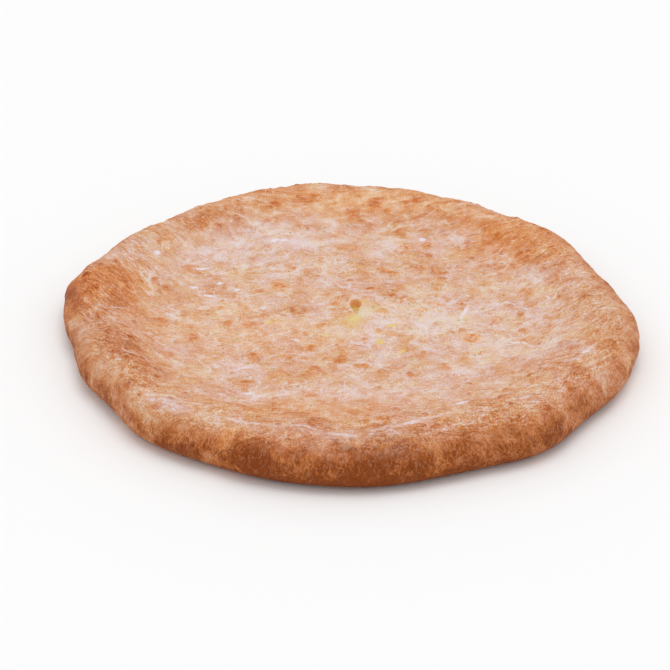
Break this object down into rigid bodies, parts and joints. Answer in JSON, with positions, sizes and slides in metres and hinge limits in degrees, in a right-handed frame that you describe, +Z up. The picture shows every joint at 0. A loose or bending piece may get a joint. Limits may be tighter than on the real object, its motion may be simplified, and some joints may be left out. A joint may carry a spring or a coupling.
{
  "type": "chicken pie",
  "caption": "Round flat closed pie, formed by hand, with a puffed rim, a shallow dished top and a small vent where the filling shows.",
  "frame": {"origin": "middle of the base, on the surface that the pie rests on", "axes": "+Z up out of the browned top, the front of the pie towards -Y, +X to the right of it"},
  "size_m": [0.3494, 0.3465, 0.0308],
  "materials": {
    "baked_crust": "matt baked dough, pale on the dish, browned on the rim, dusted with flour",
    "melted_filling": "soft, wet, pale yellow melted filling"
  },
  "bodies": {
    "root": {"crust": "baked_crust", "filling": "melted_filling"}
  },
  "joints": []
}
